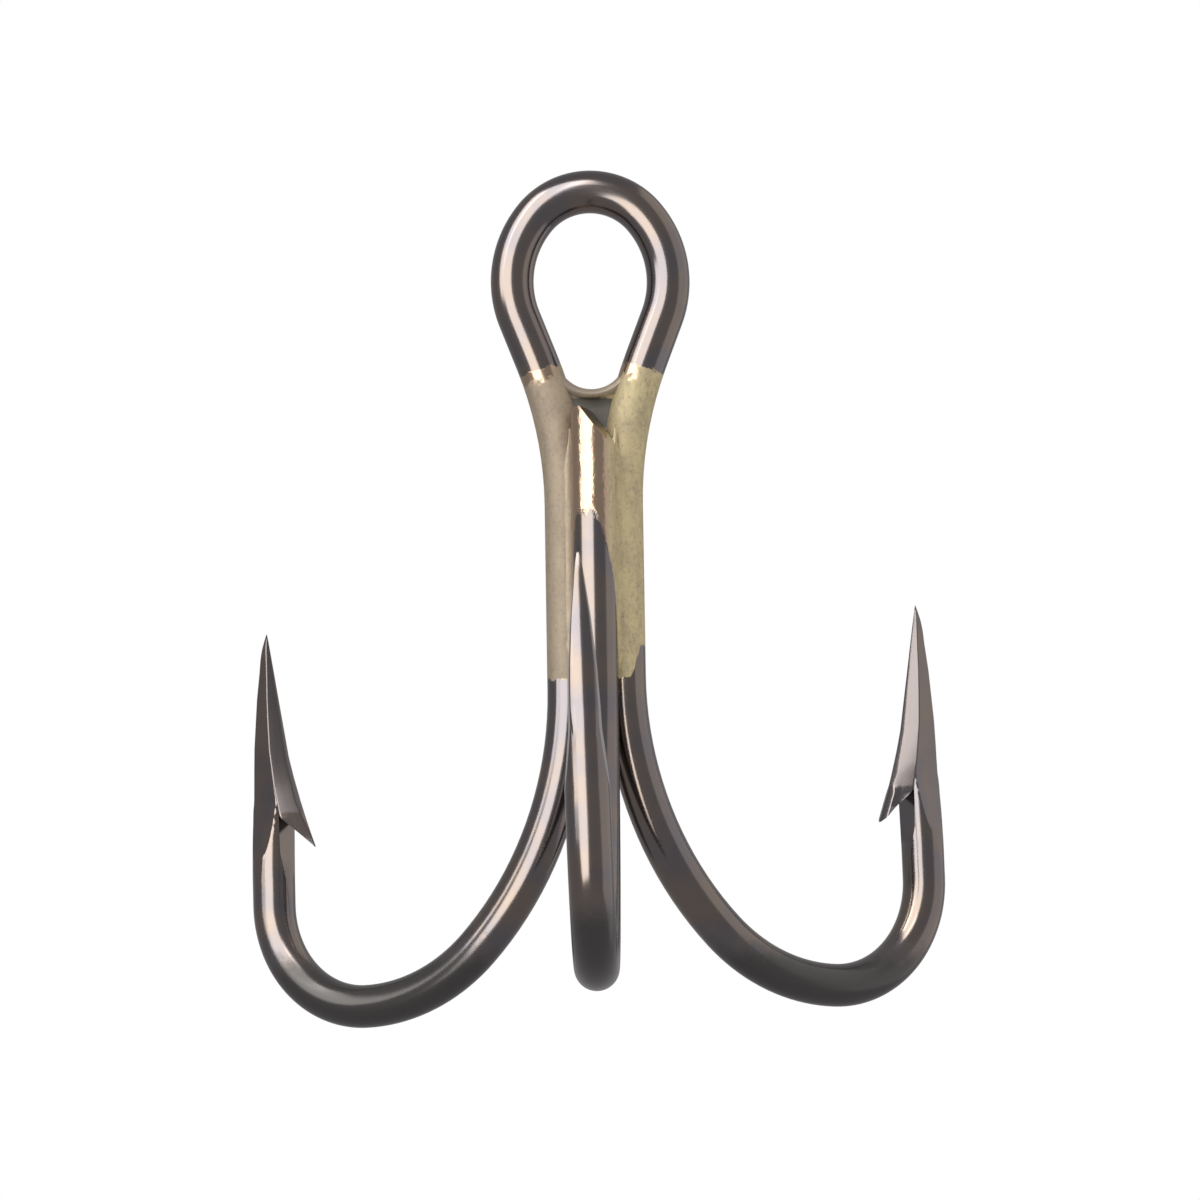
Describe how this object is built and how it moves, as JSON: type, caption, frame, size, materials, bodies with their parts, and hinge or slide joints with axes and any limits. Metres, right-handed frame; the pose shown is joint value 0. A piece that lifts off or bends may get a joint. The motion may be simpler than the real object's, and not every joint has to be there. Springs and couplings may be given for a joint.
{
  "type": "treble hook",
  "caption": "Round-bend treble fishing hook: a double hook bent with its eye from one wire, a single hook laid against it, and brass braze in the grooves.",
  "frame": {"origin": "middle of the eye, in the plane of the eye, at its widest place", "axes": "+Z along the shanks towards the top of the eye, +Y square to the plane of the eye, away from the single hook, +X across the eye, towards the right-hand hook when seen from the single hook's side"},
  "size_m": [0.0409, 0.0352, 0.0493],
  "materials": {
    "plated_wire": "dark bronze black plating, polished",
    "braze": "dull brass filler with a satin skin"
  },
  "bodies": {
    "root": {"double_hook_wire": "plated_wire", "single_hook_wire": "plated_wire", "braze_left_run": "braze", "braze_right_run": "braze", "braze_core": "braze", "braze_eye_web": "braze"}
  },
  "joints": []
}
